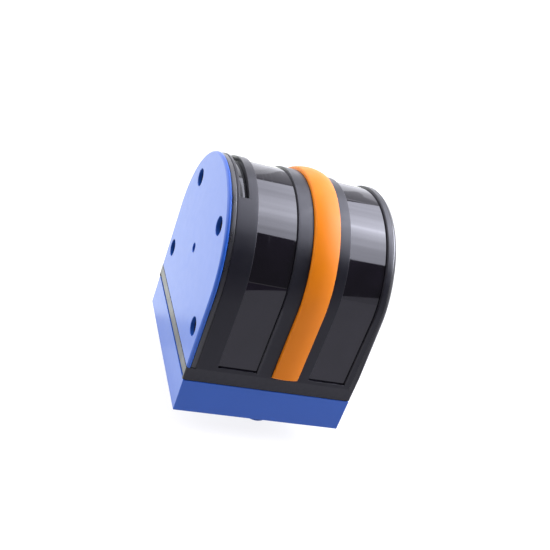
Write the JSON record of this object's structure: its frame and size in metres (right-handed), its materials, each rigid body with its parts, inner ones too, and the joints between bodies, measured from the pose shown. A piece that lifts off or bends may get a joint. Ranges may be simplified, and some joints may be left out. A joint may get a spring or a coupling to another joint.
{
  "type": "two-window arched laser scanner",
  "caption": "Compact D-section laser distance scanner with a flat mounting plate, two curved infrared windows, a raised orange band and a spinning double mirror inside.",
  "frame": {"origin": "centre of the mounting plate's outer face, on the scan axis, at the mouth of the locating bore", "axes": "+X along the scan axis from the mounting plate to the end cap, +Z from the base cover up to the top of the arch, -Y is the front"},
  "size_m": [0.072, 0.0844, 0.1048],
  "materials": {
    "black_satin_plastic": "satin moulded, fine grain",
    "blue_plastic": "satin moulded",
    "grey_rubber": "matte",
    "black_gloss_plastic": "semi gloss",
    "infrared_window": "polished",
    "orange_plastic": "semi gloss",
    "smoked_light_pipe": "polished",
    "black_rubber": "matte",
    "zinc_steel": "zinc plated",
    "black_steel": "black oxide",
    "brass_insert": "knurled",
    "contact_black": "matte",
    "gold_contact": "gold plated",
    "green_board": "solder mask",
    "chip_black": "matte moulded",
    "cream_plastic": "matte moulded",
    "die_cast_aluminium": "die cast",
    "turned_aluminium": "turned",
    "laminated_steel": "laminated",
    "copper_wire": "enamelled copper wire",
    "bearing_steel": "ground",
    "turned_steel": "turned",
    "magnet_grey": "nickel coated magnet",
    "dark_steel": "blackened",
    "coated_lens": "coated, polished",
    "polyimide_flex": "film",
    "mirror_glass": "front surface mirror"
  },
  "bodies": {
    "scanner_body": {"main_housing": "black_satin_plastic", "mounting_plate": "blue_plastic", "plate_gasket": "grey_rubber", "end_cap": "black_gloss_plastic", "receive_window": "infrared_window", "transmit_window": "infrared_window", "accent_band": "orange_plastic", "status_light_pipe": "smoked_light_pipe", "base_cover": "blue_plastic", "base_gasket": "black_rubber", "base_screws": "zinc_steel", "cap_screws": "black_steel", "threaded_inserts": "brass_insert", "connector_sleeve": "blue_plastic", "connector_insert": "contact_black", "connector_pins": "gold_contact", "main_board": "green_board", "board_chips": "chip_black", "board_connectors": "cream_plastic", "board_screws": "zinc_steel", "optics_chassis": "die_cast_aluminium", "chassis_screws": "zinc_steel", "baffle_seal": "black_rubber", "motor_base": "turned_aluminium", "stator_core": "laminated_steel", "stator_windings": "copper_wire", "shaft_bearings": "bearing_steel", "encoder_sensor": "contact_black", "lens_holder": "contact_black", "receive_lens": "coated_lens", "detector_diode": "gold_contact", "detector_board": "green_board", "laser_module": "brass_insert", "collimator_lens": "coated_lens", "laser_board": "green_board", "indicator_board": "green_board", "detector_flex": "polyimide_flex", "laser_flex": "polyimide_flex"},
    "scan_rotor": {"rotor_shaft": "bearing_steel", "rotor_bell": "turned_steel", "rotor_magnets": "magnet_grey", "encoder_disc": "dark_steel", "receive_mirror_block": "turned_aluminium", "receive_mirror": "mirror_glass", "transmit_mirror_block": "turned_aluminium", "transmit_mirror": "mirror_glass"}
  },
  "joints": [
    {"name": "rotor_spin", "type": "hinge", "parent": "scanner_body", "child": "scan_rotor", "pos_m": [0.042, 0, 0], "axis": [1, 0, 0], "continuous": true}
  ]
}
